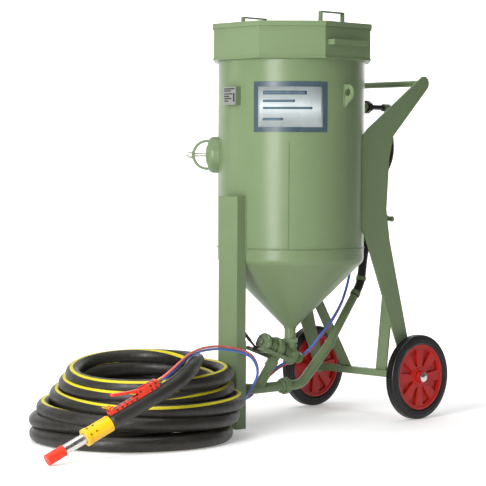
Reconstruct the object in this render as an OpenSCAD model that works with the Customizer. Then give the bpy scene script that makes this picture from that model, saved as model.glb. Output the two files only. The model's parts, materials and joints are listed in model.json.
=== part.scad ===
// Mobile abrasive blast pot: pressure vessel with a hopper and lid, metering valve,
// air pipework, two-wheel frame, and a coiled blast hose with a dead-man nozzle.
// The vessel's axis is vertical and the wheels are at +Y.

/* [Vessel] */
// Outside radius of the vessel's shell
tank_r = 256; // [240:1:262]
// Wall thickness of the shell and cone
tank_wall = 5; // [4:0.5:6]
// Height where the 45 degree cone meets the shell's line
cone_corner_z = 567; // [560:1:575]
// Top edge of the shell
shell_top_z = 1262; // [1262:1:1262]
// Outside radius of the outlet neck under the cone
neck_r = 20; // [18:1:22]

/* [Hopper and lid] */
// Distance from the axis to each flat side of the hopper
hopper_flat = 269; // [266:1:272]
// Top edge of the hopper
hopper_top_z = 1381; // [1360:1:1390]
// Depth of the lid's folded lip
lid_lip = 17; // [12:1:24]

/* [Frame] */
// Outside face of each side plate, from the middle plane
plate_x = 228; // [226:1:230]
// Thickness of each side plate
plate_t = 6; // [5:1:6]
// Outside face of the front leg's web, ahead of the vessel's axis
leg_front = 295; // [290:1:300]
// Width of the front leg
leg_w = 92; // [80:1:96]
// Top of the front leg
leg_top_z = 793; // [760:1:820]

/* [Wheels] */
// Radius of each tyre
wheel_r = 150; // [148:1:152]
// Width of each tyre
tyre_w = 38; // [34:1:40]
// Distance of the axle behind the vessel's axis
axle_y = 385; // [380:1:390]

/* [Hoses] */
// Outside diameter of the blast hose
blast_hose_d = 48; // [44:1:50]
// Outside diameter of each control hose
control_hose_d = 8; // [6:0.5:8]

/* [Hidden] */

$fn = 64;
green = "#6f8a66";
black = "#1c1c1c";
red = "#c8241c";
steel = "#b8b8b4";
eps = 0.01;

// The row's origin is on the floor, half way between the leg's web and the tyres' backs.
frame_y = (leg_front - axle_y - wheel_r) / 2;
cone_z0 = cone_corner_z - tank_r;          // where the cone's line meets the axis
neck_z = 292;                              // bottom of the neck
hand_az = 224;                             // direction of the handhole
hand_z = 935;
label_az = -46;
pipe_z = 127;                              // height of the outlet pipe
pipe_r = 17.5;
outlet_y = -190;                           // where the outlet turns to -X
air_port_z = 1114;
inlet_y = 400;                             // axis of the inlet valve
hub_end_x = 296;
bore_gap = 0.05;                           // running clearance on the radius

// Points of an arc in a plane.
function arc(cx, cy, r, a0, a1, n) = [
    for (i = [0:n]) let (a = a0 + (a1 - a0) * i / n) [cx + r * cos(a), cy + r * sin(a)]
];
function unit(v) = v / norm(v);

// Everything is drawn about the vessel's axis and moved to the row's origin.
module placed() {
    translate([0, frame_y, 0]) children();
}

// Local X and Y become the object's Y and Z.
module in_yz(x = 0) {
    rotate([90, 0, 90]) translate([0, 0, x]) children();
}

// Local Z points away from the axis at the azimuth az, local X points down.
module radial(az, z) {
    translate([0, 0, z]) rotate([0, 0, az]) rotate([0, 90, 0]) children();
}

// Local Z points to -Y, raised by the angle el.
module frontward(y, z, el) {
    translate([0, y, z]) rotate([90 - el, 0, 0]) children();
}

module rod(a, b, r, fn = 64) {
    d = b - a;
    translate(a)
        rotate([0, acos(d[2] / norm(d)), atan2(d[1], d[0])])
            cylinder(h = norm(d), r = r, $fn = fn);
}

module tube(a, b, r, bore) {
    d = unit(b - a);
    difference() {
        rod(a, b, r);
        rod(a - d, b + d, bore);
    }
}

// A pipe bend in the plane x = 0 about (cy, cz).
module bend(cy, cz, bend_r, a0, a1, r) {
    in_yz() translate([cy, cz, 0]) rotate([0, 0, a0])
        rotate_extrude(angle = a1 - a0) translate([bend_r, 0]) circle(r = r, $fn = 48);
}

module octagon(flat) {
    rotate(22.5) circle(r = flat / cos(22.5), $fn = 8);
}

module tank_cut(r = tank_r) {
    translate([0, 0, 300]) cylinder(h = 1100, r = r, $fn = 128);
}

// A closed tube swept along points, as one polyhedron. side is a vector that the
// route never runs along.
function sweep_points(path, r, sides, side) = [
    for (i = [0:len(path) - 1])
        let (
            a = path[max(i - 1, 0)],
            b = path[min(i + 1, len(path) - 1)],
            t = unit(b - a),
            n = unit(cross(t, side)),
            m = cross(t, n)
        )
        for (k = [0:sides - 1])
            let (w = 360 * k / sides) path[i] + r * (cos(w) * n + sin(w) * m)
];
function sweep_faces(count, sides) = concat(
    [[for (k = [0:sides - 1]) k]],
    [
        for (i = [0:count - 2]) for (k = [0:sides - 1])
            let (j = (k + 1) % sides)
            [i * sides + k, (i + 1) * sides + k, (i + 1) * sides + j, i * sides + j]
    ],
    [[for (k = [0:sides - 1]) count * sides - 1 - k]]
);
module swept(path, r, sides, side) {
    polyhedron(sweep_points(path, r, sides, side), sweep_faces(len(path), sides), 4);
}

// A smooth curve through route points, with steps rings on each stretch.
function between(p0, p1, p2, p3, t) =
    0.5 * (2 * p1 + (p2 - p0) * t + (2 * p0 - 5 * p1 + 4 * p2 - p3) * t * t
        + (3 * p1 - p0 - 3 * p2 + p3) * t * t * t);
function smooth(route, steps) = concat(
    [
        for (i = [0:len(route) - 2]) for (s = [0:steps - 1])
            between(route[max(i - 1, 0)], route[i], route[i + 1],
                route[min(i + 2, len(route) - 1)], s / steps)
    ],
    [route[len(route) - 1]]
);

// ---------------------------------------------------------------- vessel

module pressure_vessel() {
    knuckle = 30;
    knuckle_z = cone_corner_z + knuckle * tan(22.5);
    inside = tank_r - tank_wall;
    inner_z0 = cone_z0 + tank_wall * sqrt(2);
    bore = neck_r - tank_wall;
    outer_line = concat(
        [[neck_r, neck_z], [neck_r, cone_z0 + neck_r]],
        arc(tank_r - knuckle, knuckle_z, knuckle, -45, 0, 6),
        [[tank_r, shell_top_z]]
    );
    inner_line = concat(
        [[inside, shell_top_z]],
        arc(tank_r - knuckle, knuckle_z, knuckle - tank_wall, 0, -45, 6),
        [[bore, inner_z0 + bore], [bore, neck_z]]
    );
    color(green) placed() difference() {
        rotate_extrude($fn = 128) polygon(concat(outer_line, inner_line));
        radial(hand_az, hand_z) cylinder(h = 300, r = 56);
        radial(90, air_port_z) cylinder(h = 300, r = 8);
    }
}

// Dished head that funnels the abrasive to the filler port.
head_edge_z = 1256;
head_drop = 50;
head_t = 4;
function head_r() = (pow(tank_r - tank_wall, 2) + pow(head_drop, 2)) / (2 * head_drop);
function head_z(r) = head_edge_z - head_drop + head_r() - sqrt(pow(head_r(), 2) - r * r);
port_r = 38;

module top_head() {
    edge = tank_r - tank_wall;
    steps = 10;
    radii = [for (i = [0:steps]) port_r + (edge - port_r) * i / steps];
    top = [for (r = radii) [r, head_z(r)]];
    under = [for (i = [steps:-1:0]) [radii[i], head_z(radii[i]) - head_t]];
    color(green) placed() rotate_extrude($fn = 96) polygon(concat(top, under));
}

// The seal hangs under the head's first ring.
seal_r = port_r + (tank_r - tank_wall - port_r) / 10;
seal_h = 9;
module filler_seal() {
    z = head_z(port_r) - head_t;
    color(black) placed() rotate_extrude() polygon([
        [port_r - 2, z - seal_h], [port_r - 2, z - 0.6], [port_r, z],
        [seal_r, head_z(seal_r) - head_t], [seal_r, z - seal_h]
    ]);
}

// The pop-up cone shuts the port from below when air lifts it by 24 mm.
popup_z = 1158;
module popup_cone() {
    color(black) placed() rotate_extrude() polygon([
        [0, popup_z - 54], [8, popup_z - 54], [8, popup_z], [46, popup_z], [48, popup_z + 2],
        [10, popup_z + 32], [0, popup_z + 35]
    ]);
}

module guide_pipe() {
    color(steel) placed() difference() {
        union() {
            translate([0, 0, air_port_z - 14]) cylinder(h = 50, r = 14);
            rod([0, 0, air_port_z], [0, tank_r - tank_wall + 3, air_port_z], 12);
        }
        translate([0, 0, popup_z - 55]) cylinder(h = 60, r = 8 + bore_gap);
        difference() {
            translate([0, 0, 1000]) cylinder(h = 200, r = 400);
            translate([0, 0, 999]) cylinder(h = 202, r = tank_r - tank_wall, $fn = 128);
        }
    }
}

// ---------------------------------------------------------------- hopper and lid

module hopper() {
    wall = 2.5;
    base_z = 1259.5;
    fold_h = 6;
    color(green) placed() {
        difference() {
            union() {
                translate([0, 0, base_z]) linear_extrude(hopper_top_z - base_z)
                    octagon(hopper_flat);
                translate([0, 0, base_z]) linear_extrude(fold_h) octagon(hopper_flat + 2.5);
            }
            translate([0, 0, base_z + 3]) linear_extrude(200) octagon(hopper_flat - wall);
            translate([0, 0, base_z - 1]) cylinder(h = 6, r = tank_r, $fn = 128);
        }
    }
}

// Bent strap handles on the two side faces of the hopper.
grab_len = 164;
grab_y = -15;
grab_reach = 28;
module hopper_handles() {
    h = 18;
    t = 4;
    color(green) placed() for (s = [0, 1]) mirror([s, 0, 0])
        translate([hopper_flat, grab_y - grab_len / 2, 1314 - h / 2]) difference() {
            cube([grab_reach, grab_len, h]);
            translate([-1, t, -1]) cube([grab_reach - t + 1, grab_len - 2 * t, h + 2]);
        }
}

// Lift-out sieve that stands on the shell's top edge.
module sieve() {
    r = 255;
    pitch = 35;
    bar = 2.5;
    z = shell_top_z + 0.4;
    mesh_z = z + 27;
    color(steel) placed() {
        difference() {
            translate([0, 0, z]) cylinder(h = 30, r = r);
            translate([0, 0, z - 1]) cylinder(h = 40, r = r - 2.5);
        }
        intersection() {
            translate([0, 0, mesh_z]) cylinder(h = 3, r = r - 1);
            union() for (i = [-6:6]) {
                translate([i * pitch - bar / 2, -r, mesh_z]) cube([bar, 2 * r, 3]);
                translate([-r, i * pitch - bar / 2, mesh_z]) cube([2 * r, bar, 3]);
            }
        }
    }
}

module lid() {
    sheet = 2.5;
    z = hopper_top_z + 0.5;
    color(green) placed() difference() {
        translate([0, 0, z + sheet - lid_lip]) linear_extrude(lid_lip)
            octagon(hopper_flat + 4.5);
        translate([0, 0, z - lid_lip]) linear_extrude(lid_lip) octagon(hopper_flat + 2.5);
    }
}

lid_top_z = hopper_top_z + 3;
lid_handle_x = 190;
module lid_handles() {
    len = 113;
    h = 41;
    t = 5;
    w = 16;
    color(green) placed() for (s = [-1, 1])
        translate([s * lid_handle_x - w / 2, -len / 2, lid_top_z]) difference() {
            cube([w, len, h]);
            translate([-1, t, -1]) cube([w + 2, len - 2 * t, h - t + 1]);
        }
}

// ---------------------------------------------------------------- shell fittings

lug_hole_r = 12.5;
lug_z = 1148;
lug_x = 272;
module lifting_lugs() {
    t = 8;
    r = 27;
    color(green) placed() for (s = [0, 1]) mirror([s, 0, 0]) difference() {
        rotate([90, 0, 0]) translate([0, 0, -t / 2]) linear_extrude(t) union() {
            translate([lug_x, lug_z]) circle(r = r);
            polygon([[250, 1095], [256, 1095], [294, 1132.5], [lug_x, lug_z],
                [lug_x, lug_z + r], [250, lug_z + r]]);
        }
        translate([lug_x, 20, lug_z]) rotate([90, 0, 0]) cylinder(h = 40, r = lug_hole_r);
        tank_cut();
    }
}

module label_panel() {
    half = 29;
    color("#e8b838") placed() translate([0, 0, 1011]) rotate([0, 0, label_az - half])
        rotate_extrude(angle = 2 * half, $fn = 128) translate([tank_r, 0]) square([0.8, 171]);
}

// Rating plate on a hat-shaped stand-off.
module rating_plate() {
    w = 60;
    h = 61;
    front = 280;
    color("#c9c9c2") placed() difference() {
        translate([-20 - w / 2, -front, 1104]) difference() {
            cube([w, front - 240, h]);
            translate([2, 2, -1]) cube([w - 4, front, h + 2]);
        }
        tank_cut();
    }
}

// ---------------------------------------------------------------- frame

// Channel leg with its web outwards, welded to the shell.
module front_leg() {
    x = -8;
    t = 5;
    back = -250;
    color(green) placed() difference() {
        translate([x - leg_w / 2, -leg_front, 0]) cube([leg_w, leg_front + back, leg_top_z]);
        translate([x - leg_w / 2 + t, -leg_front + t, -1])
            cube([leg_w - 2 * t, 100, leg_top_z + 2]);
        tank_cut();
    }
}

handle_y = 444;
handle_z = 1195;
axle_r = 10;
foot_r = 24;
module plate_outline() {
    polygon([
        [110, 700], [145, 642], [308, 269], [axle_y - foot_r, wheel_r],
        [axle_y + foot_r, wheel_r], [363, 296], [265, 639], [247, 748], [260, 929],
        [280, 1004], [handle_y + 18, handle_z - 18], [handle_y - 17, handle_z + 18],
        [148, 1027], [110, 988]
    ]);
    translate([handle_y, handle_z]) circle(r = 25);
    translate([axle_y, wheel_r]) circle(r = foot_r);
}

module side_plate() {
    difference() {
        in_yz(plate_x - plate_t) linear_extrude(plate_t) plate_outline();
        tank_cut();
        rod([0, axle_y, wheel_r], [300, axle_y, wheel_r], axle_r);
    }
}
module side_plate_right() {
    color(green) placed() side_plate();
}
module side_plate_left() {
    color(green) placed() mirror([1, 0, 0]) side_plate();
}

module push_handle() {
    x = plate_x - plate_t;
    color(green) placed() tube([-x, handle_y, handle_z], [x, handle_y, handle_z], 11, 9);
}

// Square beam between the plates, with the axle shaft through it.
module axle_tube() {
    x = plate_x - plate_t;
    half = 12.5;
    color(green) placed() difference() {
        translate([-x, axle_y - half, wheel_r - half]) cube([2 * x, 2 * half, 2 * half]);
        rod([-x - 1, axle_y, wheel_r], [x + 1, axle_y, wheel_r], axle_r);
    }
}

module axle_shaft() {
    color(steel) placed() rod([-285.7, axle_y, wheel_r], [285.7, axle_y, wheel_r], axle_r);
}

// Flat bars from the axle tube up and out to the side plates.
module braces() {
    w = 50;
    t = 6;
    low_z = wheel_r + 12.5;
    color(green) placed() for (s = [0, 1]) mirror([s, 0, 0]) intersection() {
        hull() {
            translate([62, 380, low_z]) cube([w, t, 0.1]);
            translate([238, 240, 662]) cube([w, t, 0.1]);
        }
        cube([plate_x - plate_t, 500, 700]);
    }
}

// ---------------------------------------------------------------- wheels

tyre_in_x = 238;
rim_r = 116;
module tyre() {
    r = wheel_r;
    w = tyre_w;
    c = 9;
    color(black) in_yz(tyre_in_x) translate([axle_y, wheel_r, 0]) rotate_extrude($fn = 96)
        polygon(concat(
            [[rim_r, 2], [rim_r + 5, 0.5], [rim_r + 8, 0], [rim_r + 9, 1.5], [r - 20, 1.5],
                [r - 18, 0]],
            arc(r - c, c, c, -60, 0, 5),
            [[r, 11], [r - 2, 12], [r - 2, 13.5], [r, 14.5]],
            [[r, w - 14.5], [r - 2, w - 13.5], [r - 2, w - 12], [r, w - 11]],
            arc(r - c, w - c, c, 0, 60, 5),
            [[r - 18, w], [r - 20, w - 1.5], [rim_r + 9, w - 1.5], [rim_r + 8, w],
                [rim_r + 5, w - 0.5], [rim_r, w - 2]]
        ));
}

// Moulded wheel: outer band, a disc with wedge-shaped pockets in both faces, and a hub.
module rim_pocket() {
    in_r = 40;
    out_r = rim_r - 15;
    polygon([
        [in_r, -4], [in_r, 4], for (a = [12:-4:-12]) [out_r * cos(a), out_r * sin(a)]
    ]);
}
module rim() {
    w = tyre_w;
    face = 6;
    depth = 9;
    hub_r = 21;
    hub_len = hub_end_x - 10 - tyre_in_x;
    color(red) in_yz(tyre_in_x) translate([axle_y, wheel_r, 0]) difference() {
        union() {
            difference() {
                translate([0, 0, 2]) cylinder(h = w - 4, r = rim_r, $fn = 96);
                translate([0, 0, -1]) cylinder(h = w + 2, r = rim_r - 8, $fn = 96);
            }
            difference() {
                translate([0, 0, face]) cylinder(h = w - 2 * face, r = rim_r - 5, $fn = 96);
                for (k = [0:7]) rotate(k * 45 + 22.5) {
                    translate([0, 0, face - 1]) linear_extrude(depth + 1) rim_pocket();
                    translate([0, 0, w - face - depth]) linear_extrude(depth + 1) rim_pocket();
                }
            }
            translate([0, 0, -5]) cylinder(h = hub_len + 5, r = hub_r);
            translate([0, 0, 3]) cylinder(h = w - 6, r = 32);
        }
        translate([0, 0, -10]) cylinder(h = 100, r = axle_r + bore_gap);
    }
}

module hub_cap() {
    color(steel) in_yz(286) translate([axle_y, wheel_r, 0]) rotate_extrude() polygon([
        [0, 0], [17, 0], [17, 3], [13, 7], [6, 10], [0, 10]
    ]);
}

module tyre_right() { placed() tyre(); }
module rim_right() { placed() rim(); }
module hub_cap_right() { placed() hub_cap(); }
module tyre_left() { placed() mirror([1, 0, 0]) tyre(); }
module rim_left() { placed() mirror([1, 0, 0]) rim(); }
module hub_cap_left() { placed() mirror([1, 0, 0]) hub_cap(); }

// ---------------------------------------------------------------- handhole

ring_face = 292;
stud_r = 6;
module handhole_ring() {
    out_r = 64;
    corner = 22;
    color(green) placed() difference() {
        radial(hand_az, hand_z) rotate_extrude() polygon(concat(
            [[56, 235], [out_r, 235]],
            arc(out_r - corner, ring_face - corner, corner, 0, 90, 6),
            [[42, ring_face - 8], [50, ring_face - 10], [56, ring_face - 14]]
        ));
        tank_cut(tank_r);
    }
}

module handhole_cover() {
    color(green) placed() radial(hand_az, hand_z) rotate_extrude() polygon([
        [stud_r, 268], [54, 268], [54, 272], [40, 276], [39, 290], [30, 297], [stud_r, 300]
    ]);
}

module handhole_gasket() {
    color(black) placed() radial(hand_az, hand_z) rotate_extrude() polygon([
        [42, 275.43], [54, 272], [54, 279.33], [50, 282], [42, 284]
    ]);
}

// Arch that stands on the ring and takes the stud's pull.
yoke_mid = ring_face + 2;
yoke_r = 53;
module handhole_yoke() {
    w = 22;
    t = 9;
    foot = 8;
    in_r = yoke_r - t;
    color(green) placed() radial(hand_az, hand_z) difference() {
        rotate([90, 0, 0]) translate([0, yoke_mid, -w / 2]) linear_extrude(w) difference() {
            union() {
                circle(r = yoke_r);
                translate([-yoke_r, -foot]) square([2 * yoke_r, foot]);
            }
            circle(r = in_r);
            translate([-in_r, -foot - 1]) square([2 * in_r, foot + 1]);
            translate([-100, -100]) square([200, 100 - foot]);
        }
        rotate_extrude() polygon(concat([[0, 200], [64, 200]], arc(42, 270, 22, 0, 90, 6), [[0, 292]]));
        translate([0, 0, 300]) cylinder(h = 100, r = stud_r + 0.5);
    }
}

module handhole_stud() {
    color(steel) placed() radial(hand_az, hand_z) {
        translate([0, 0, 262]) cylinder(h = 110, r = stud_r);
        translate([0, 0, 260]) cylinder(h = 8, r = 12, $fn = 6);
    }
}

module handhole_nut() {
    z = yoke_mid + yoke_r + 0.3;
    color(steel) placed() radial(hand_az, hand_z) difference() {
        union() {
            translate([0, 0, z]) cylinder(h = 3, r = 14);
            translate([0, 0, z]) cylinder(h = 14, r = 11, $fn = 6);
        }
        translate([0, 0, z - 1]) cylinder(h = 30, r = stud_r + bore_gap);
    }
}

// ---------------------------------------------------------------- metering valve

act_y = -70;
act_z = 263;
act_el = 20;
act_len = 70;
act_r = 30;
lever_y = -165;
lever_z = 266;
pin_r = 4;
branch_from = [0, -52, 258];
branch_top = [0, -98, 201];
flange_r = 37;
module valve_body() {
    color(green) placed() difference() {
        union() {
            translate([0, 0, neck_z - 14]) cylinder(h = 14, r = 28, $fn = 6);
            translate([0, 0, 222]) cylinder(h = neck_z - 230, r = 23);
            translate([0, 0, 262]) cylinder(h = 8, r = 26);
            translate([0, 0, 222]) sphere(r = 23, $fn = 48);
            rod([0, 12, 233], [0, act_y, act_z], 25);
            frontward(act_y, act_z, act_el) translate([0, 0, -9]) cylinder(h = 9, r = flange_r);
            frontward(act_y, act_z, act_el) translate([0, 0, -34]) cylinder(h = 7, r = 29);
            rod(branch_from, branch_top, 17);
            rod([0, -84, 218.35], branch_top, 22, 6);
            rod([0, 0, 236], [0, 40, 222], 15);
            rod([0, 34, 224], [0, 48, 219], 20, 6);
            rod([0, -6, 240], [34, -6, 240], 9);
            rod([30, -6, 240], [40, -6, 240], 12, 6);
        }
        frontward(act_y, act_z, act_el) cylinder(h = act_len, r = flange_r);
    }
}

// Diaphragm actuator: flange, ribbed drum, bolted end cap and centre boss.
module valve_actuator() {
    color(green) placed() frontward(act_y, act_z, act_el) {
        cylinder(h = 9, r = flange_r);
        translate([0, 0, 8]) cylinder(h = act_len - 18, r = act_r - 3);
        translate([0, 0, 26]) cylinder(h = 6, r = act_r);
        translate([0, 0, 40]) cylinder(h = 6, r = act_r);
        translate([0, 0, act_len - 14]) cylinder(h = 11, r = 34);
        translate([0, 0, act_len - 4]) cylinder(h = 4, r = 22);
        translate([0, 0, act_len - 1]) cylinder(h = 9, r = 10, $fn = 6);
        for (a = [0:60:300]) rotate(a + 15) {
            translate([32.3, 0, 8.5]) cylinder(h = 5, r = 4, $fn = 6);
            translate([28.5, 0, act_len - 4]) cylinder(h = 5, r = 4, $fn = 6);
        }
    }
}

// Two flat bars beside the actuator, with the pin that carries the metering lever.
module valve_tie_bars() {
    x = 38;
    t = 6;
    drop = 22;
    color(green) placed() difference() {
        union() {
            for (s = [-1, 1]) in_yz(s * (x + t / 2) - t / 2) linear_extrude(t) union() {
                polygon([[lever_y, lever_z - 7], [lever_y, lever_z + 7], [-24, 222], [-28, 209]]);
                translate([lever_y, lever_z]) circle(r = 7);
            }
            rod([-x - t, lever_y, lever_z], [x + t, lever_y, lever_z], pin_r);
            for (s = [-1, 1]) rod([s * (x + 1), -34, 218], [s * 18, -34, 230], 5);
        }
        frontward(act_y, act_z, act_el) translate([0, 0, -10])
            cylinder(h = act_len + 11, r = flange_r);
        frontward(act_y, act_z, act_el) translate([0, 0, -34]) cylinder(h = 7, r = 29);
        rod([0, 12, 233], [0, act_y, act_z], 25);
    }
}

module metering_lever() {
    color(black) placed() difference() {
        union() {
            rod([-8, lever_y, lever_z], [8, lever_y, lever_z], 9);
            rod([0, lever_y - 4, lever_z + 4], [0, lever_y - 56, lever_z + 56], 4);
            rod([0, lever_y - 30, lever_z + 30], [0, lever_y - 58, lever_z + 58], 5.5);
        }
        rod([-20, lever_y, lever_z], [20, lever_y, lever_z], pin_r + bore_gap);
    }
}

// ---------------------------------------------------------------- pipes

// Branch from the valve, the straight run, and the elbow to -X.
module wye_pipe() {
    elbow_r = 30;
    end_x = -45;
    fall = branch_from - branch_top;
    meet_y = branch_top[1] - (branch_top[2] - pipe_z) * fall[1] / fall[2];
    color(green) placed() union() {
        rod([0, -40, pipe_z], [0, outlet_y + elbow_r, pipe_z], pipe_r);
        rod(branch_top, [0, meet_y, pipe_z], pipe_r);
        rod([0, -48, pipe_z], [0, -40, pipe_z], 25, 6);
        translate([-elbow_r, outlet_y + elbow_r, pipe_z]) rotate([0, 0, -90])
            rotate_extrude(angle = 90) translate([elbow_r, 0]) circle(r = pipe_r, $fn = 48);
        rod([-elbow_r, outlet_y, pipe_z], [end_x, outlet_y, pipe_z], pipe_r);
    }
}

module pipe_union() {
    color(green) placed() union() {
        rod([0, -40, pipe_z], [0, -6, pipe_z], 22);
        rod([0, -34, pipe_z], [0, -14, pipe_z], 30, 8);
    }
}

air_slope = 42.7;
air_bend_r = 70;
air_bend_y = 30;
sleeve_at = [0, 204, 274];
air_end = [0, 329, 427];
module air_pipe() {
    after_y = air_bend_y + air_bend_r * sin(air_slope);
    after_z = pipe_z + air_bend_r * (1 - cos(air_slope));
    rise = tan(air_slope);
    mid = [0, 196, after_z + (196 - after_y) * rise];
    color(green) placed() union() {
        rod([0, -6, pipe_z], [0, air_bend_y + 0.4, pipe_z], pipe_r);
        bend(air_bend_y, pipe_z + air_bend_r, air_bend_r, 270, 270 + air_slope, pipe_r);
        rod([0, after_y - 0.4, after_z - 0.4 * rise], mid, pipe_r);
        rod(mid, air_end, 15);
        translate(mid) sphere(r = 15, $fn = 48);
        rod(mid, mid + 14 * unit(air_end - mid), 19);
    }
}

hose_r = 15.5;
air_hose_route = [
    air_end, [0, 344, 446], [0, 357, 466], [0, 366, 490], [0, 372, 525], [0, 377, 560],
    [0, 384, 592], [0, 394, 618], [0, 400, 638], [0, 400, 644]
];
module air_hose() {
    color(black) placed() swept(air_hose_route, hose_r, 12, [1, 0, 0]);
}

module hose_clamps() {
    r = hose_r + 3;
    gap = hose_r;
    color("#3a3d38") placed() {
        tube([0, 332, 431], [0, 341, 442], r, gap);
        tube([0, 364, 482], [0, 368, 497], r, gap);
        tube([0, 395, 622], [0, 398.3, 633], r, gap);
    }
}

module tank_air_pipe() {
    elbow_y = 505;
    color(green) placed() difference() {
        union() {
            rod([0, 240, air_port_z], [0, 385, air_port_z], 15);
            rod([0, 383, air_port_z], [0, 400, air_port_z], 24, 6);
            rod([0, 400, air_port_z], [0, 485, air_port_z], 9);
            rod([0, 478, air_port_z], [0, elbow_y, air_port_z], 14);
            translate([0, elbow_y, air_port_z]) sphere(r = 14, $fn = 48);
            rod([0, elbow_y, air_port_z], [0, elbow_y, 1090], 14);
        }
        tank_cut();
    }
}

tank_hose_route = [
    [0, 505, 1090], [0, 507, 1060], [0, 511, 1025], [0, 516, 990], [0, 517, 955],
    [0, 508, 920], [0, 488, 888], [0, 460, 862], [0, 432, 843], [0, 413, 828], [0, 403, 812],
    [0, 400, 805], [0, 400, 800]
];
module tank_air_hose() {
    color(black) placed() swept(tank_hose_route, hose_r, 12, [1, 0, 0]);
}

// Automatic air valve behind the vessel, with the ball valve on its -X side.
inlet_z = 720;
ball_x = -75;
module inlet_valve() {
    color(green) placed() difference() {
        union() {
            translate([0, inlet_y, 664]) cylinder(h = 118, r = 32);
            translate([0, inlet_y, 770]) cylinder(h = 14, r = 38);
            translate([0, inlet_y, 782]) cylinder(h = 18, r = 17, $fn = 6);
            translate([0, inlet_y, 644]) cylinder(h = 22, r = 17, $fn = 6);
            rod([0, inlet_y, inlet_z], [-60, inlet_y, inlet_z], 17);
            rod([-54, inlet_y, inlet_z], [-98, inlet_y, inlet_z], 21, 8);
            rod([ball_x, inlet_y, inlet_z], [ball_x, inlet_y, inlet_z + 34], 9);
            rod([0, inlet_y, 708], [0, 452, 708], 12);
            rod([0, inlet_y, 708], [100, 420, 708], 8);
            rod([92, 418.4, 708], [104, 420.8, 708], 10, 6);
        }
        translate([ball_x, inlet_y, inlet_z + 26]) cylinder(h = 20, r = 4);
    }
}

module exhaust_silencer() {
    color(black) placed() union() {
        rod([0, 452, 708], [0, 500, 708], 13);
        rod([0, 500, 708], [0, 516, 708], 7);
    }
}

module ball_valve_lever() {
    z = inlet_z + 34.3;
    color(red) placed() union() {
        translate([ball_x, inlet_y, inlet_z + 27]) cylinder(h = 12, r = 4 - bore_gap);
        translate([ball_x, inlet_y, z]) cylinder(h = 5, r = 11);
        translate([ball_x - 92, inlet_y - 8, z]) cube([92, 16, 4]);
    }
}

module claw_half(x0, x1) {
    rod([x0, 0, 0], [x1, 0, 0], 21);
    lug_in = x0 + (x1 - x0) * 0.55;
    for (a = [0, 180]) rotate([a, 0, 0])
        translate([min(lug_in, x1), -13, 14]) cube([abs(x1 - lug_in), 26, 17]);
}

// The same half coupling serves the air inlet and the blast outlet.
module claw_couplings() {
    color(steel) placed() {
        translate([0, inlet_y, inlet_z]) claw_half(-98, -138);
        translate([0, outlet_y, pipe_z]) claw_half(-45, -85);
    }
}

module valve_bracket() {
    color(green) placed() difference() {
        union() {
            translate([-20, 250, 738]) cube([40, inlet_y - 32 - 250 + 12, 6]);
            translate([-3, 250, 690]) cube([6, 70, 50]);
        }
        tank_cut();
        translate([0, inlet_y, 600]) cylinder(h = 300, r = 32);
    }
}

module hose_coupling() {
    color(steel) placed() translate([-170, outlet_y, pipe_z]) {
        claw_half(45, 85);
        rod([45, 0, 0], [38, 0, 0], 26);
    }
}

// ---------------------------------------------------------------- blast hose

coil_centre = [-30, -678];
coil_tilt = 6;
tail_loop = [-415, -298];
tail_loop_r = 200;
tail_route = concat(
    [
        [-132, -190, 127], [-180, -189, 123], [-235, -178, 108], [-290, -158, 84],
        [-340, -132, 55], [-380, -108, 34]
    ],
    [
        for (a = [90:15:285])
            [tail_loop[0] + tail_loop_r * cos(a), tail_loop[1] + tail_loop_r * sin(a), 25]
    ]
);
lead_route = [
    [273.5, -1048.7, 114.5], [287, -987, 144], [299, -934, 170], [309, -884, 194],
    [308, -848, 210], [301, -805, 226], [288, -765, 236]
];

module blast_hose_tail() {
    color(black) placed() swept(smooth(tail_route, 2), blast_hose_d / 2, 10, [0, 0, 1]);
}

module blast_hose_lead() {
    color(black) placed() swept(lead_route, blast_hose_d / 2, 10, [0, 0, 1]);
}

module blast_hose_coil() {
    color(black) placed() translate([coil_centre[0], coil_centre[1], 0]) difference() {
        rotate_extrude($fn = 96) polygon([
            [215, 0], [350, 0], [362, 12], [362, 112], [342, 172], [316, 214], [288, 290],
            [215, 290]
        ]);
        rotate([0, 0, 46.2]) translate([0, 0, 257]) rotate([coil_tilt, 0, 0])
            translate([-500, -500, 0]) cube([1000, 1000, 200]);
    }
}

// ---------------------------------------------------------------- nozzle and dead-man handle

tip = [228, -1252, 17];
lance_dir = unit([0.198, 0.884, 0.424]);
// Local Z runs up the lance from the nozzle's tip, and local X is its upper side.
module lance() {
    translate(tip)
        rotate([0, acos(lance_dir[2]), atan2(lance_dir[1], lance_dir[0])])
            rotate([0, 0, 180]) children();
}

holder_at = 138;
holder_len = 92;
module nozzle_holder() {
    color("#e8b010") placed() lance() difference() {
        translate([0, 0, holder_at]) union() {
            cylinder(h = holder_len, r = 26);
            cylinder(h = 12, r = 28);
        }
        translate([0, 0, holder_at - 1]) cylinder(h = 41, r = nozzle_r);
        translate([0, 0, holder_at + 39]) cylinder(h = 80, r = 14);
    }
}

nozzle_r = 16;
module blast_nozzle() {
    color(steel) placed() lance() difference() {
        translate([0, 0, 8]) cylinder(h = holder_at + 32, r = nozzle_r);
        cylinder(h = 400, r = 6);
    }
}

module nozzle_cap() {
    color(red) placed() lance() difference() {
        cylinder(h = 62, r = nozzle_r + 1.9);
        translate([0, 0, 7.6]) cylinder(h = 80, r = nozzle_r + 0.35);
    }
}

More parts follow.
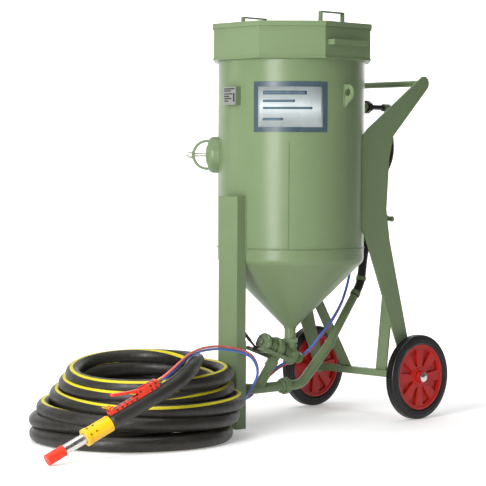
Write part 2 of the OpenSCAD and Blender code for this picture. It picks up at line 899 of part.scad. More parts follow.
body_from = 240;
body_to = 425;
body_x = 22.5;
pivot_at = 376;
pivot_x = 36;
flap_at = 250;
flap_x = 40;
deadman_pin_r = 3;
module deadman_body() {
    w = 24;
    color(red) placed() lance() difference() {
        union() {
            translate([body_x, -w / 2, body_from]) cube([11, w, body_to - body_from]);
            translate([body_x, -w / 2, 350]) cube([26, w, body_to - 350]);
            for (s = [-1, 1]) translate([body_x, s * 10 - 2, flap_at - 7]) cube([24, 4, 14]);
        }
        translate([27.5, -8.5, 330]) cube([40, 17, 60]);
        translate([pivot_x, 50, pivot_at]) rotate([90, 0, 0])
            cylinder(h = 100, r = deadman_pin_r);
        translate([flap_x, 50, flap_at]) rotate([90, 0, 0]) cylinder(h = 100, r = deadman_pin_r);
    }
}

// The lever stands 20 degrees off the body at rest.
module deadman_lever() {
    w = 16;
    color(red) placed() lance() translate([pivot_x, 0, pivot_at]) {
        rotate([90, 0, 0]) translate([0, 0, -14.2])
            cylinder(h = 28.4, r = deadman_pin_r - bore_gap);
        rotate([90, 0, 0]) translate([0, 0, -8.2]) cylinder(h = 16.4, r = 8);
        rotate([0, -20, 0]) {
            translate([-4, -w / 2, -112]) cube([8, w, 112]);
            translate([-6, 0.5 - w / 2, -40]) cube([11, w - 1, 40]);
        }
    }
}

module safety_flap() {
    w = 14;
    color("#e8b010") placed() lance() translate([flap_x, 0, flap_at]) {
        rotate([90, 0, 0]) translate([0, 0, -12.5]) cylinder(h = 25, r = deadman_pin_r - bore_gap);
        rotate([90, 0, 0]) translate([0, 0, -w / 2]) cylinder(h = w, r = 5);
        rotate([0, -35, 0]) translate([-1.5, -w / 2, -24]) cube([3, w, 24]);
    }
}

module control_fittings() {
    color("#b08a3a") placed() lance() {
        translate([39.9, -0.4, body_to]) cylinder(h = 20, r = 4.4);
        translate([31.7, -4, body_to]) cylinder(h = 20, r = 4.4);
    }
}

// ---------------------------------------------------------------- control hoses

control_gap = 9;
control_side = [0.8, 0.6, 0];
control_route = [
    [312, -875, 242], [312, -852, 254], [301, -812, 270], [275, -760, 284], [240, -700, 296],
    [205, -640, 302], [172, -580, 305], [142, -515, 304], [120, -450, 300], [101, -380, 290],
    [84, -315, 274], [62, -262, 250], [44, -226, 216], [33, -212, 180],
    [26, -212, 140], [14, -206, 102], [-12, -180, 90], [-38, -140, 98], [-46, -100, 124],
    [-44, -60, 152], [-38, -20, 172], [-24, 20, 180], [-8, 60, 186], [0, 110, 226],
    [0, 150, 262], [0, 188, 300], [0, 219, 339], [0, 245, 372], [0, 268, 410],
    [0, 290, 460], [0, 303, 500], [0, 316, 550], [0, 330, 600], [0, 342, 645],
    [0, 352, 680], [0, 368, 692]
];
function beside(path, gap, side) = [
    for (i = [0:len(path) - 1])
        path[i] + gap * unit(cross(
            path[min(i + 1, len(path) - 1)] - path[max(i - 1, 0)], side
        ))
];
module control_hoses() {
    r = control_hose_d / 2;
    color("#3050a0") placed() {
        swept(control_route, r, 8, control_side);
        swept(beside(control_route, control_gap, control_side), r, 8, control_side);
    }
}

pressure_vessel();
top_head();
filler_seal();
popup_cone();
guide_pipe();
hopper();
hopper_handles();
sieve();
lid();
lid_handles();
lifting_lugs();
label_panel();
rating_plate();
front_leg();
side_plate_right();
side_plate_left();
push_handle();
axle_tube();
axle_shaft();
braces();
tyre_right();
rim_right();
hub_cap_right();
tyre_left();
rim_left();
hub_cap_left();
handhole_ring();
handhole_cover();
handhole_gasket();
handhole_yoke();
handhole_stud();
handhole_nut();
valve_body();
valve_actuator();
valve_tie_bars();
metering_lever();
wye_pipe();
pipe_union();
air_pipe();
hose_clamps();
air_hose();
tank_air_pipe();
tank_air_hose();
inlet_valve();
valve_bracket();
exhaust_silencer();
ball_valve_lever();
claw_couplings();
hose_coupling();
blast_hose_tail();
blast_hose_coil();
blast_hose_lead();
nozzle_holder();
blast_nozzle();
nozzle_cap();
deadman_body();
deadman_lever();
safety_flap();
control_fittings();
control_hoses();
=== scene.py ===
"""Looks of the mobile blast pot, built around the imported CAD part."""

import json
import math

import bmesh
import bpy
from mathutils import Matrix, Vector


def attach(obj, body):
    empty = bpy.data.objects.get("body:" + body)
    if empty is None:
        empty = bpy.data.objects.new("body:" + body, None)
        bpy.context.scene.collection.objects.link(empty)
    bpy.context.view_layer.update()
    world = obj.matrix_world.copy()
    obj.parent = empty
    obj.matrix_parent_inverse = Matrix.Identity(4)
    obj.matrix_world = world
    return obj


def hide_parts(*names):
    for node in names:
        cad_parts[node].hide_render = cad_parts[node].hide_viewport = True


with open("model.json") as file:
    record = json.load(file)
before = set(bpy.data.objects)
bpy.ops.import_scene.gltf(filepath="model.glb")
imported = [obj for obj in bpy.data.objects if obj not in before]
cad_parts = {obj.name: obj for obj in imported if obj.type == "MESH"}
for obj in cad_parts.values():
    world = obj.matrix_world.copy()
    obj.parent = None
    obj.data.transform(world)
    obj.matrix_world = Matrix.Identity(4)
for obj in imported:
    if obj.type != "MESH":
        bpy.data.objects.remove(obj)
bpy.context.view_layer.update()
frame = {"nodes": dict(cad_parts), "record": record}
POT_Y = -120.0  # the vessel's axis, in mm in the row frame


def mm(x, y, z):
    """A point about the vessel's axis in mm, as a point in the row frame in metres."""
    return Vector((x, y + POT_Y, z)) / 1000


# ---------------------------------------------------------------- camera


def add_camera():
    data = bpy.data.cameras.new("camera")
    data.lens = 138.6
    data.sensor_width = 36
    data.clip_end = 50
    cam = bpy.data.objects.new("camera", data)
    bpy.context.scene.collection.objects.link(cam)
    bpy.context.scene.camera = cam
    ahead = Vector((-0.7218, 0.6921, 0))
    right = Vector((0.6921, 0.7218, 0))
    pitch = math.radians(2.2509)
    roll = math.radians(0.304)
    look = ahead * math.cos(pitch) - Vector((0, 0, 1)) * math.sin(pitch)
    up = Vector((0, 0, 1)) * math.cos(pitch) + ahead * math.sin(pitch)
    side = right * math.cos(roll) + up * math.sin(roll)
    top = up * math.cos(roll) - right * math.sin(roll)
    turn = Matrix((side, top, -look)).transposed()
    cam.matrix_world = Matrix.Translation((4.6202, -4.7815, 0.8844)) @ turn.to_4x4()


add_camera()

# ---------------------------------------------------------------- materials


class Nodes:
    """Short calls for building one material's nodes."""

    def __init__(self, name):
        self.mat = bpy.data.materials.new(name)
        self.mat.use_nodes = True
        self.tree = self.mat.node_tree
        self.bsdf = self.tree.nodes["Principled BSDF"]
        self.coords = self.add("ShaderNodeTexCoord").outputs["Object"]

    def add(self, kind, **sockets):
        node = self.tree.nodes.new(kind)
        for key, value in sockets.items():
            name = key.replace("_", " ")
            if isinstance(value, bpy.types.NodeSocket):
                self.tree.links.new(value, node.inputs[name])
            else:
                node.inputs[name].default_value = value
        return node

    def noise(self, scale, detail=3.0, rough=0.5, stretch=None):
        where = self.coords
        if stretch:
            mapping = self.add("ShaderNodeMapping", Vector=where)
            mapping.inputs["Scale"].default_value = stretch
            where = mapping.outputs["Vector"]
        node = self.add("ShaderNodeTexNoise", Vector=where, Scale=scale, Detail=detail)
        node.inputs["Roughness"].default_value = rough
        return node.outputs["Fac"]

    def ramp(self, fac, stops):
        node = self.add("ShaderNodeValToRGB", Fac=fac)
        elements = node.color_ramp.elements
        while len(elements) < len(stops):
            elements.new(0.5)
        for element, (at, colour) in zip(elements, stops):
            element.position = at
            grey = isinstance(colour, (int, float))
            element.color = (colour, colour, colour, 1) if grey else (*colour, 1)
        return node.outputs["Color"]

    def mix(self, fac, a, b, mode="MIX"):
        node = self.tree.nodes.new("ShaderNodeMix")
        node.data_type = "RGBA"
        node.blend_type = mode
        for index, value in ((0, fac), (6, a), (7, b)):
            socket = node.inputs[index]
            if isinstance(value, bpy.types.NodeSocket):
                self.tree.links.new(value, socket)
            elif index:
                socket.default_value = (*value, 1)
            else:
                socket.default_value = value
        return node.outputs[2]

    def bump(self, height, strength, distance, normal=None):
        node = self.add("ShaderNodeBump", Height=height)
        node.inputs["Strength"].default_value = strength
        node.inputs["Distance"].default_value = distance
        if normal:
            self.tree.links.new(normal, node.inputs["Normal"])
        return node.outputs["Normal"]

    def round_edges(self, radius):
        node = self.tree.nodes.new("ShaderNodeBevel")
        node.samples = 4
        node.inputs["Radius"].default_value = radius
        return node.outputs["Normal"]

    def set(self, **sockets):
        for key, value in sockets.items():
            name = key.replace("_", " ")
            if isinstance(value, bpy.types.NodeSocket):
                self.tree.links.new(value, self.bsdf.inputs[name])
            elif isinstance(value, tuple):
                self.bsdf.inputs[name].default_value = (*value, 1)
            else:
                self.bsdf.inputs[name].default_value = value
        return self


def shade(colour, k):
    return tuple(c * k for c in colour)


def paint(name, colour, rough=0.3, edge=0.0012, dirt=0.12):
    """Sprayed enamel: faint colour drift, orange peel and dust."""
    n = Nodes(name)
    drift = n.ramp(n.noise(5.0, 2), [(0.3, shade(colour, 0.97)), (0.7, shade(colour, 1.03))])
    dust = n.ramp(n.noise(26.0, 6, 0.6), [(0.45, 0.0), (0.75, dirt)])
    dusty = n.mix(dust, drift, shade(colour, 0.72))
    n.set(Base_Color=dusty)
    n.set(Roughness=n.ramp(n.noise(18.0, 2), [(0.3, rough - 0.02), (0.7, rough + 0.04)]))
    n.bsdf.inputs["Specular IOR Level"].default_value = 0.28
    peel = n.bump(n.noise(420.0, 2), 0.12, 0.0004, n.round_edges(edge))
    n.set(Normal=n.bump(n.noise(14.0, 1), 0.03, 0.001, peel))
    return n.mat


def plated(name, colour, rough=0.3, edge=0.0006):
    n = Nodes(name)
    drift = n.ramp(n.noise(40.0, 5, 0.6), [(0.3, shade(colour, 0.75)), (0.7, colour)])
    stain = n.ramp(n.noise(9.0, 4), [(0.55, 0.0), (0.8, 0.35)])
    n.set(Base_Color=n.mix(stain, drift, shade(colour, 0.5)), Metallic=1.0)
    n.set(Roughness=n.ramp(n.noise(60.0, 4), [(0.3, rough), (0.7, rough + 0.18)]))
    n.set(Normal=n.bump(n.noise(500.0, 2), 0.15, 0.0003, n.round_edges(edge)))
    return n.mat


def moulded(name, colour, rough=0.42, grain=0.1, edge=0.001):
    n = Nodes(name)
    drift = n.ramp(n.noise(12.0, 4), [(0.3, shade(colour, 0.9)), (0.7, shade(colour, 1.06))])
    n.bsdf.inputs["Specular IOR Level"].default_value = 0.34
    scuff = n.ramp(n.noise(55.0, 6, 0.65), [(0.58, 0.0), (0.8, 0.35)])
    n.set(Base_Color=n.mix(scuff, drift, shade(colour, 0.6)))
    n.set(Roughness=n.ramp(n.noise(30.0, 4), [(0.3, rough - 0.06), (0.7, rough + 0.12)]))
    n.set(Normal=n.bump(n.noise(650.0, 2), grain, 0.0004, n.round_edges(edge)))
    return n.mat


def rubber(name, colour, rough=0.55, weave=0.0, dust=0.3):
    n = Nodes(name)
    grey = tuple(min(1.0, c * 3.2 + 0.012) for c in colour)
    n.bsdf.inputs["Specular IOR Level"].default_value = 0.36
    worn = n.ramp(n.noise(16.0, 6, 0.65), [(0.4, 0.0), (0.75, dust)])
    base = n.mix(worn, colour, grey)
    n.set(Roughness=n.ramp(n.noise(45.0, 4), [(0.3, rough - 0.08), (0.7, rough + 0.12)]))
    fine = n.bump(n.noise(700.0, 2), 0.2, 0.0004)
    if weave:
        wrap = n.noise(75.0, 4, 0.7, (1, 1, 2.2))
        base = n.mix(n.ramp(wrap, [(0.42, 0.0), (0.62, 0.5)]), base, shade(colour, 2.6))
        fine = n.bump(wrap, 0.35, 0.0012, fine)
        cloth = n.add("ShaderNodeTexVoronoi", Vector=n.coords, Scale=300.0)
        fine = n.bump(cloth.outputs["Distance"], weave, 0.0006, fine)
    n.set(Base_Color=base)
    n.set(Normal=n.bump(n.noise(60.0, 3), 0.2, 0.001, fine))
    return n.mat


GREEN = (0.158, 0.218, 0.112)
M = {
    "paint": paint("sage_paint", GREEN),
    "seal": rubber("seal_rubber", (0.018, 0.018, 0.018)),
    "zinc": plated("zinc_plate", (0.6, 0.6, 0.56), 0.3),
    "steel": plated("turned_steel", (0.74, 0.73, 0.7), 0.2),
    "label": moulded("label_plastic", (0.05, 0.08, 0.1), 0.3, 0.02),
    "plate": plated("blank_plate", (0.5, 0.53, 0.5), 0.38),
    "tyre": rubber("tyre_rubber", (0.007, 0.007, 0.007), 0.34, dust=0.06),
    "rim": moulded("red_moulding", (0.47, 0.014, 0.01), 0.34, 0.05),
    "chrome": plated("bright_cap", (0.8, 0.8, 0.8), 0.12),
    "hose": rubber("hose_rubber", (0.0125, 0.0115, 0.0095), 0.42, weave=0.25, dust=0.3),
    "black_metal": paint("black_metal", (0.02, 0.02, 0.02)),
    "lever": paint("red_lever", (0.5, 0.02, 0.015)),
    "casting": plated("iron_casting", (0.42, 0.42, 0.4), 0.42),
    "holder": moulded("yellow_nylon", (0.72, 0.42, 0.006), 0.4),
    "cap": moulded("orange_cap", (0.62, 0.035, 0.012), 0.4),
    "deadman": paint("red_handle", (0.6, 0.035, 0.014), 0.36),
    "brass": plated("brass", (0.75, 0.5, 0.16), 0.25),
    "control": rubber("control_rubber", (0.35, 0.1, 0.1)),
}
STRIPE = moulded("yellow_stripe", (0.6, 0.52, 0.015), 0.5, 0.25)
RED_LINE = moulded("red_line", (0.72, 0.15, 0.12), 0.35, 0.1)
BLUE_LINE = moulded("blue_line", (0.08, 0.2, 0.72), 0.35, 0.1)
WELD = paint("weld_paint", shade(GREEN, 0.86), 0.42)
LABEL_GREY = moulded("label_grey", (0.09, 0.15, 0.2), 0.3, 0.02)
LABEL_PALE = moulded("label_pale", (0.5, 0.56, 0.56), 0.3, 0.02)

SLOT_OF = {s["node"]: s["material_slot"] for s in frame["record"]["subparts"]}
BODY_OF = {
    node: body for body, nodes in frame["record"]["behaviour"]["bodies"].items() for node in nodes
}
for name, node in frame["nodes"].items():
    node.data.materials.clear()
    node.data.materials.append(M[SLOT_OF[name]])

# ---------------------------------------------------------------- mesh helpers


def add_mesh(name, verts, faces, mats, smooth=True, face_mats=None):
    mesh = bpy.data.meshes.new(name)
    mesh.from_pydata([tuple(v) for v in verts], [], faces)
    for material in mats:
        mesh.materials.append(material)
    if face_mats:
        mesh.polygons.foreach_set("material_index", face_mats)
    mesh.polygons.foreach_set("use_smooth", [smooth] * len(mesh.polygons))
    mesh.update()
    obj = bpy.data.objects.new(name, mesh)
    bpy.context.scene.collection.objects.link(obj)
    return obj


def catmull(points, gap):
    """Points about gap apart on a smooth curve through the given points."""
    out = []
    last = len(points) - 1
    for i in range(last):
        p0, p1, p2, p3 = (points[min(max(i + d, 0), last)] for d in (-1, 0, 1, 2))
        steps = max(1, round((p2 - p1).length / gap))
        for s in range(steps):
            t = s / steps
            out.append(
                0.5 * (2 * p1 + (p2 - p0) * t + (2 * p0 - 5 * p1 + 4 * p2 - p3) * t * t
                       + (3 * p1 - p0 - 3 * p2 + p3) * t ** 3)
            )
    out.append(points[last])
    return out


def relaxed(path, least, first, last):
    """The path with each bend opened out until none is tighter than least."""
    for _ in range(300):
        moved = list(path)
        for i in range(first, len(path) - last):
            a, b, c = path[i - 2], path[i], path[i + 2]
            twice = (b - a).cross(c - b).length
            if twice * 2 * least > (b - a).length * (c - b).length * (c - a).length:
                moved[i] = b.lerp((path[i - 1] + path[i + 1]) / 2, 0.6)
        if moved == path:
            break
        path = moved
    return path


def tube(name, path, radius, sides, mats, side=None, twist=None, stripe=0, swell=None):
    """A capped tube along path. side is the direction that its first column faces, turned
    by twist degrees at each point, and the first stripe columns take the second material."""
    verts, faces, face_mats = [], [], []
    count = len(path)
    across = None
    for i, p in enumerate(path):
        along = (path[min(i + 1, count - 1)] - path[max(i - 1, 0)]).normalized()
        if side is not None:
            across = (side - along * side.dot(along)).normalized()
        elif across is None:
            start = Vector((0, 0, 1)) if abs(along.z) < 0.9 else Vector((1, 0, 0))
            across = (start - along * start.dot(along)).normalized()
        else:
            across = (across - along * across.dot(along)).normalized()
        other = along.cross(across)
        turn = math.radians(twist[i]) if twist else 0.0
        r = radius * (swell[i] if swell else 1.0)
        for k in range(sides):
            a = turn + 2 * math.pi * (k - stripe / 2) / sides
            verts.append(p + r * (math.cos(a) * across + math.sin(a) * other))
    for i in range(count - 1):
        for k in range(sides):
            j = (k + 1) % sides
            faces.append((i * sides + k, i * sides + j, (i + 1) * sides + j, (i + 1) * sides + k))
            face_mats.append(1 if k < stripe else 0)
    faces.append(tuple(range(sides - 1, -1, -1)))
    faces.append(tuple((count - 1) * sides + k for k in range(sides)))
    face_mats += [0, 0]
    obj = add_mesh(name, verts, faces, mats, True, face_mats)
    obj.data.polygons[len(faces) - 1].use_smooth = False
    obj.data.polygons[len(faces) - 2].use_smooth = False
    return obj


def revolve(name, profile, steps, mat, place):
    """profile is (radius, height) pairs in mm turned about Z, then moved by place."""
    verts, faces = [], []
    for i in range(steps):
        a = 2 * math.pi * i / steps
        for r, h in profile:
            verts.append(place @ (Vector((r * math.cos(a), r * math.sin(a), h)) / 1000))
    n = len(profile)
    for i in range(steps):
        j = (i + 1) % steps
        for k in range(n - 1):
            faces.append((i * n + k, j * n + k, j * n + k + 1, i * n + k + 1))
    return add_mesh(name, verts, faces, [mat])


def pointing(origin, direction):
    """The placement that stands local Z along direction at origin."""
    return Matrix.Translation(origin) @ Vector(direction).to_track_quat("Z", "Y").to_matrix().to_4x4()


def sector(name, r, centre_deg, width, z0, z1, mat, raise_mm=0.0):
    """A rectangle of the given arc width laid on the shell, in mm."""
    r = r + raise_mm
    half = math.degrees(width / 2 / r)
    steps = max(2, round(width / 8))
    verts, faces = [], []
    for i in range(steps + 1):
        a = math.radians(centre_deg - half + 2 * half * i / steps)
        for z in (z0, z1):
            verts.append(mm(r * math.cos(a), r * math.sin(a), z))
    for i in range(steps):
        faces.append((2 * i, 2 * i + 2, 2 * i + 3, 2 * i + 1))
    obj = add_mesh(name, verts, faces, [mat], True)
    solid = obj.modifiers.new("thick", "SOLIDIFY")
    solid.thickness = 0.0003
    solid.offset = 1
    return obj


def own(obj, body="pot"):
    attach(obj, body)
    return obj


# ---------------------------------------------------------------- blast hose

HOSE_R = 0.024
COIL = (-30.0, -678.0)
FRONT = 316.2                 # where the pile's front lies, in degrees about its axis
LYING_Z = 24.6                # the hose's axis where it lies on the floor
TAIL_LOOP = (-413.5, -315.4)  # the tail's loop on the floor: its centre and its radius
TAIL_LOOP_R = 222
# One row a turn from the floor up: distance from the coil's axis, then height, each at
# the front, right, back and left of the pile.
RINGS = [
    ((312, 290, 290, 330), (0, 0, 0, 0)),
    ((305, 306, 318, 336), (38, 38, 45, 46)),
    ((278, 330, 340, 300), (76, 84, 92, 86)),
    ((252, 326, 340, 266), (112, 130, 138, 122)),
    ((206, 216, 230, 218), (122, 150, 186, 150)),
    ((230, 300, 308, 238), (148, 172, 184, 156)),
    ((205, 278, 278, 208), (181, 208, 224, 190)),
    ((190, 252, 254, 192), (214, 243, 262, 224)),
]


def around(four, deg):
    """A smooth value between four given at the pile's front, right, back and left."""
    f, r, b, l = four
    a = math.radians(deg - FRONT)
    mean = (f + r + b + l) / 4
    return (mean + (f - b) / 2 * math.cos(a) + (r - l) / 2 * math.sin(a)
            + (f + b - r - l) / 4 * math.cos(2 * a))


def ring_at(k, deg):
    low = min(int(k), len(RINGS) - 2)
    t = k - low
    out = []
    for part in (0, 1):
        a, b = (around(RINGS[low + up][part], deg) for up in (0, 1))
        out.append(a + (b - a) * t)
    return out


def ease(t):
    t = min(max(t, 0.0), 1.0)
    return t * t * (3 - 2 * t)


def coil_point(turned):
    """The hose's line after turning clockwise by this many degrees from the tail."""
    deg = 110.0 - turned
    wave = 6.0 * math.sin(math.radians(turned * 0.83)) + 1.5 * math.sin(math.radians(turned * 2.3))
    if turned < 360:
        r, z = ring_at(0.0, deg)
        r += (254 - r) * ease((turned - 225) / 135)
    elif turned < 980:
        r = 254 - 40 * ease((turned - 380) / 300)
        z = 50 * ease((turned - 690) / 130)
        out_r, out_z = ring_at(0.85, deg)
        blend = ease((turned - 790) / 190)
        r += (out_r - r) * blend
        z += (out_z - z) * blend
    else:
        r, z = ring_at(0.85 + (turned - 980) / (COIL_TURN - 980) * 5.35, deg)
    settle = ease((turned - 1000) / 200)
    r += wave * settle
    a = math.radians(deg)
    return mm(COIL[0] + r * math.cos(a), COIL[1] + r * math.sin(a), 24.6 + z)


COIL_TURN = 2858.0
TAIL = [
    (-132, -190, 127), (-179, -186, 120), (-225, -173, 103), (-268, -151, 79),
    (-312, -124, 52),
]
LEAD = [
    (-155, -442, 246), (-91, -428, 247), (-25, -437, 249), (17, -457, 251), (53, -486, 253),
    (105, -540, 257), (160, -597, 261), (214, -653, 263), (265, -706, 258), (300, -756, 247),
    (316, -815, 225), (312.5, -874, 198), (299.7, -931.5, 170.7), (286.5, -990, 142.6),
    (273.5, -1048.7, 114.5),
]


def add_blast_hose():
    route = [mm(*p) for p in TAIL]
    for deg in range(75, 305, 15):
        a = math.radians(deg)
        z = LYING_Z + max(0, 90 - deg) * 0.5
        route.append(mm(TAIL_LOOP[0] + TAIL_LOOP_R * math.cos(a),
                        TAIL_LOOP[1] + TAIL_LOOP_R * math.sin(a), z))
    route.append(mm(-200, -440, LYING_Z))
    turned = 0.0
    while turned < COIL_TURN - 4:
        route.append(coil_point(turned))
        turned += 15.0
    route += [mm(*p) for p in LEAD]
    path = relaxed(catmull(route, 0.024), 0.2, 2, 9)
    # The stripe lies outside and on top of the upper turns and is turned away lower down.
    share = [i / (len(path) - 1) for i in range(len(path))]
    centre = mm(*COIL, 0)
    twist = []
    for s, p in zip(share, path):
        near = math.cos(math.atan2(p.y - centre.y, p.x - centre.x) - math.radians(FRONT))
        wander = 9 * math.sin(s * 53.0) + 7 * math.sin(s * 119.0)
        on_top = -12 - 26 * near + wander
        upper = ease((s - 0.42) / 0.06)
        turn = 170 + (on_top - 170) * upper
        twist.append(turn + (105 - turn) * ease((s - 0.925) / 0.035))
    obj = tube("blast_hose", path, HOSE_R, 28, [M["hose"], STRIPE],
               Vector((0, 0, 1)), twist, 2)
    own(obj)
    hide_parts("blast_hose_tail", "blast_hose_coil", "blast_hose_lead")
    return obj


blast_hose = add_blast_hose()

# ---------------------------------------------------------------- control hoses

CONTROL = [
    (312, -875, 242), (312, -852, 254), (301, -812, 270), (275, -760, 284), (240, -700, 296),
    (205, -640, 302), (172, -580, 305), (142, -515, 304), (120, -450, 300), (101, -380, 290),
    (88, -312, 275), (70, -254, 253), (55, -215, 218), (45, -202, 181), (31, -208, 146),
    (2, -214, 114), (-24, -192, 101), (-42, -152, 104), (-48, -105, 124),
    (-44, -60, 158), (-38, -20, 184), (-24, 20, 202), (-8, 60, 216), (0, 110, 250),
    (0, 150, 284), (0, 188, 316), (0, 219, 348), (0, 245, 378), (0, 268, 412),
    (0, 290, 460), (0, 303, 500), (0, 316, 550), (0, 330, 600), (0, 342, 645),
    (0, 352, 680), (0, 367, 692),
]


def add_control_hoses():
    red = catmull([mm(*p) for p in CONTROL], 0.012)
    flat = Vector((0.8, 0.6, 0))
    blue = []
    for i, p in enumerate(red):
        along = (red[min(i + 1, len(red) - 1)] - red[max(i - 1, 0)]).normalized()
        out = along.cross(flat).normalized()
        # The pair crosses over behind the leg and back again below the air valve.
        t = i / (len(red) - 1)
        turn = math.pi * (ease((t - 0.53) / 0.1) - ease((t - 0.88) / 0.09))
        blue.append(p + 0.009 * (out * math.cos(turn) + along.cross(out) * math.sin(turn)))
    for name, path, mat in (("red_line", red, RED_LINE), ("blue_line", blue, BLUE_LINE)):
        obj = tube(name, path, 0.004, 14, [mat], flat)
        own(obj)
        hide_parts("control_hoses")


add_control_hoses()

# ---------------------------------------------------------------- air hoses


def short_hose(name, points, node):
    path = catmull([mm(0, y, z) for y, z in points], 0.008)
    ribs = [1 + 0.012 * math.sin(i * 1.9) for i in range(len(path))]
    obj = tube(name, path, 0.0155, 28, [M["hose"]], Vector((1, 0, 0)), None, 0, ribs)
    own(obj)
    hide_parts(node)


short_hose("air_hose_skin", [
    (329, 427), (344, 446), (357, 466), (366, 490), (372, 525), (377, 560), (384, 592),
    (394, 618), (400, 638), (400, 644),
], "air_hose")
short_hose("tank_air_hose_skin", [
    (505, 1090), (507, 1060), (511, 1025), (516, 990), (517, 955), (508, 920), (488, 888),
    (460, 862), (432, 843), (413, 828), (403, 812), (400, 805), (400, 800),
], "tank_air_hose")

# ---------------------------------------------------------------- black air fittings


def recoloured(node, materials, pick):
    """A copy of a CAD node whose faces take the material that pick gives for their centre."""
    obj = bpy.data.objects.new(f"{node}_skin", frame["nodes"][node].data.copy())
    bpy.context.scene.collection.objects.link(obj)
    obj.data.materials.clear()
    for material in materials:
        obj.data.materials.append(material)
    for face in obj.data.polygons:
        face.material_index = pick(face.center)
    own(obj, BODY_OF[node])
    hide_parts(node)
    return obj


recoloured("tank_air_pipe", [M["paint"], M["black_metal"]],
           lambda c: 1 if 383 < c.y * 1000 - POT_Y < 478 else 0)


# ---------------------------------------------------------------- welds


def bead(name, points, radius, closed=False):
    """A slightly lumpy weld bead along points given in mm about the vessel's axis."""
    path = catmull([mm(*p) for p in points], 0.004)
    lumps = [1 + 0.12 * math.sin(i * 1.7) + 0.08 * math.sin(i * 0.61) for i in range(len(path))]
    obj = tube(name, path, radius, 8, [WELD], None, None, 0, lumps)
    return own(obj)


def circle_points(r, z, steps=24, a0=0.0, a1=360.0):
    return [
        (r * math.cos(math.radians(a0 + (a1 - a0) * i / steps)),
         r * math.sin(math.radians(a0 + (a1 - a0) * i / steps)), z)
        for i in range(steps + 1)
    ]


bead("weld_girth", circle_points(256.2, 614.5, 72), 0.0026)
bead("weld_neck", circle_points(20.5, 331.5), 0.003)
bead("weld_hopper", circle_points(256.6, 1259.0, 72), 0.002)
SEAM = math.radians(-47)
bead("weld_seam", [
    (256.2 * math.cos(SEAM), 256.2 * math.sin(SEAM), z) for z in range(616, 1012, 36)
], 0.0017)
for name, side in (("right", 38), ("left", -54)):
    y = -math.sqrt(256.5 ** 2 - side ** 2)
    bead(f"weld_leg_{name}", [(side, y, z) for z in range(600, 794, 24)], 0.0028)
for name, s in (("right", 1), ("left", -1)):
    for dy in (-5, 5):
        bead(f"weld_lug_{name}_{dy + 5}", [(s * 256, dy, z) for z in range(1099, 1174, 10)], 0.0022)
    bead(f"weld_plate_{name}", [(s * 228.5, 115.5, z) for z in range(706, 985, 28)], 0.0028)

# ---------------------------------------------------------------- label and rating plate

LABEL_AT = -46.0
# A plain field and plain bars: each is its centre's shift, its width, its heights and its raise.
for name, mat, fields in (
    ("field", LABEL_PALE, [(0, 226, 1028, 1164, 0.1)]),
    ("bar", LABEL_GREY, [(-20, 150, 1138, 1150, 0.5), (-40, 110, 1112, 1120, 0.5),
                         (-10, 170, 1088, 1096, 0.5), (-60, 70, 1050, 1058, 0.5)]),
):
    for i, (shift, width, z0, z1, up) in enumerate(fields):
        at = LABEL_AT + math.degrees(shift / 256)
        own(sector(f"label_{name}_{i}", 256.8, at, width, z0, z1, mat, up))

# The sign plate's sheet stays bright and its folded edges are painted.
recoloured("rating_plate", [M["plate"], M["paint"]],
           lambda c: 0 if c.y * 1000 - POT_Y < -279 else 1)


def boxes(name, spots, mat, place):
    """One piece of boxes, each given by its low and high corner in mm in the frame place."""
    verts, faces = [], []
    for low, high in spots:
        n = len(verts)
        for x in (low[0], high[0]):
            for y in (low[1], high[1]):
                for z in (low[2], high[2]):
                    verts.append(place @ (Vector((x, y, z)) / 1000))
        for quad in ((0, 1, 3, 2), (4, 6, 7, 5), (0, 4, 5, 1), (2, 3, 7, 6), (0, 2, 6, 4),
                     (1, 5, 7, 3)):
            faces.append(tuple(n + q for q in quad))
    return own(add_mesh(name, verts, faces, [mat], False))


def studs(name, spots, radius, height, mat):
    """One piece of round heads, each standing on a point in metres along a direction."""
    verts, faces = [], []
    for where, out in spots:
        place = pointing(where, out)
        n = len(verts)
        for r, h in ((radius, -0.3), (radius, height * 0.7), (radius * 0.75, height)):
            for k in range(12):
                a = math.pi * k / 6
                verts.append(place @ (Vector((r * math.cos(a), r * math.sin(a), h)) / 1000))
        for row in (0, 12):
            for k in range(12):
                j = (k + 1) % 12
                faces.append((n + row + k, n + row + j, n + row + 12 + j, n + row + 12 + k))
        faces.append(tuple(n + 24 + k for k in range(12)))
        faces.append(tuple(n + 11 - k for k in range(12)))
    return own(add_mesh(name, verts, faces, [mat], False))


rows = []
for z, x0, x1 in ((1158, -45, 5), (1151, -45, -14), (1141, -45, -6), (1133, -45, -20),
                  (1125, -45, -10), (1117, -45, -26)):
    rows.append(((x0, -280.4, z - 2), (x1, -279.8, z + 2)))
rows.append(((-2, -280.4, 1114), (5, -279.8, 1144)))
boxes("plate_marks", rows, M["black_metal"], Matrix.Translation(mm(0, 0, 0)))
studs("plate_rivets", [(mm(x, -280, z), (0, -1, 0)) for x in (-47.5, 7.5) for z in (1107, 1162)],
      1.4, 0.8, M["zinc"])

# ---------------------------------------------------------------- handle and holder details

TIP = mm(228, -1252, 17)
ALONG = Vector((0.198, 0.884, 0.424)).normalized()
RISE = (Vector((0, 0, 1)) - ALONG * ALONG.z).normalized()
ASIDE = ALONG.cross(RISE)
LANCE = Matrix.Translation(TIP) @ Matrix((ASIDE, RISE, ALONG)).transposed().to_4x4()


def on_lance(aside, rise, along):
    return TIP + (ASIDE * aside + RISE * rise + ALONG * along) / 1000


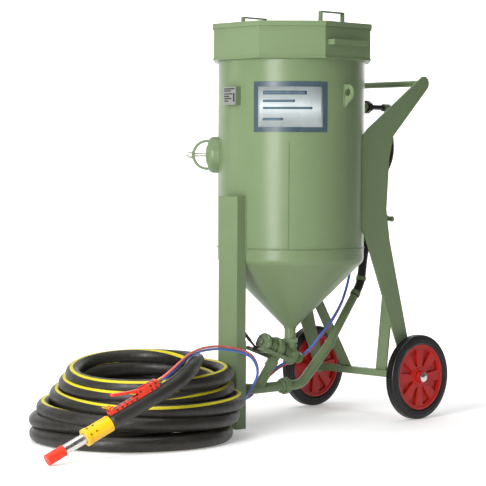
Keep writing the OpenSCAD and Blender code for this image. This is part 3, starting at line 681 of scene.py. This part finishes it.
heads = []
for along, rise in ((266, 28), (284, 28), (302, 28), (320, 28), (338, 28), (358, 41), (396, 40),
                    (414, 40), (396, 28), (414, 28)):
    for s in (-1, 1):
        heads.append((on_lance(12 * s, rise, along), ASIDE * s))
studs("handle_bolts", heads, 3.3, 1.6, M["black_metal"])
# Flat black patches on the handle's top are painted shade standing for the dark inside of its slots.
boxes("handle_slot_shade", [((-7, 33.3, a), (7, 33.9, a + 9)) for a in (262, 279, 296, 313)]
      + [((-6, 48.3, a), (6, 48.9, a + 8)) for a in (393, 409)],
      M["black_metal"], LANCE)
screws = []
for along in (152, 172):
    for deg in (20, 70, 200, 250):
        out = ASIDE * math.cos(math.radians(deg)) + RISE * math.sin(math.radians(deg))
        screws.append((TIP + out * 0.0279 + ALONG * along / 1000, out))
studs("holder_screws", screws, 2.6, 0.9, M["black_metal"])

# ---------------------------------------------------------------- lights and floor


def area_light(name, place, target, size, power):
    data = bpy.data.lights.new(name, "AREA")
    data.shape = "RECTANGLE"
    data.size, data.size_y = size
    data.energy = power
    obj = bpy.data.objects.new(name, data)
    obj.location = place
    direction = Vector(target) - Vector(place)
    obj.rotation_euler = direction.to_track_quat("-Z", "Y").to_euler()
    bpy.context.scene.collection.objects.link(obj)


def add_studio():
    world = bpy.data.worlds.new("studio")
    bpy.context.scene.world = world
    world.use_nodes = True
    back = world.node_tree.nodes["Background"]
    back.inputs["Color"].default_value = (1, 1, 1, 1)
    back.inputs["Strength"].default_value = 0.1
    area_light("key", (1.15, -3.6, 1.5), (0, -0.12, 0.8), (1.2, 2.6), 150)
    area_light("left", (-2.9, -2.3, 1.9), (0, -0.12, 0.7), (1.2, 2.0), 14)
    area_light("top", (-0.2, -0.6, 4.6), (0, -0.4, 0), (4.0, 4.0), 132)
    area_light("rim", (-1.1, 2.9, 1.7), (0, 0, 0.8), (0.35, 2.0), 9)

    ahead, right = Vector((-0.7218, 0.6921, 0)), Vector((0.6921, 0.7218, 0))
    # The far floor and the wall glow so that they stay white away from the lights.
    n = Nodes("studio_floor")
    n.set(Base_Color=n.ramp(n.noise(2.0), [(0.3, 0.86), (0.7, 0.88)]), Roughness=0.85)
    depth = n.tree.nodes.new("ShaderNodeVectorMath")
    depth.operation = "DOT_PRODUCT"
    n.tree.links.new(n.coords, depth.inputs[0])
    depth.inputs[1].default_value = ahead
    glow = n.add("ShaderNodeMapRange", Value=depth.outputs["Value"], From_Min=0.3, From_Max=3.2,
                 To_Min=0.26, To_Max=1.0)
    n.bsdf.inputs["Emission Color"].default_value = (1, 1, 1, 1)
    n.set(Emission_Strength=glow.outputs["Result"])
    verts, faces = [], []
    line = [(-9.0, 0.0), (9.0, 0.0)]
    for i in range(1, 13):
        a = math.radians(90 * i / 12)
        line.append((9.0 + 2.5 * math.sin(a), 2.5 * (1 - math.cos(a))))
    line.append((11.5, 10.0))
    for s in (-14.0, 14.0):
        for d, z in line:
            verts.append(ahead * d + right * s + Vector((0, 0, z - 0.0005)))
    count = len(line)
    for i in range(count - 1):
        faces.append((i, i + 1, count + i + 1, count + i))
    floor = add_mesh("floor", verts, faces, [n.mat])
    bpy.context.scene.view_settings.view_transform = "Standard"


add_studio()
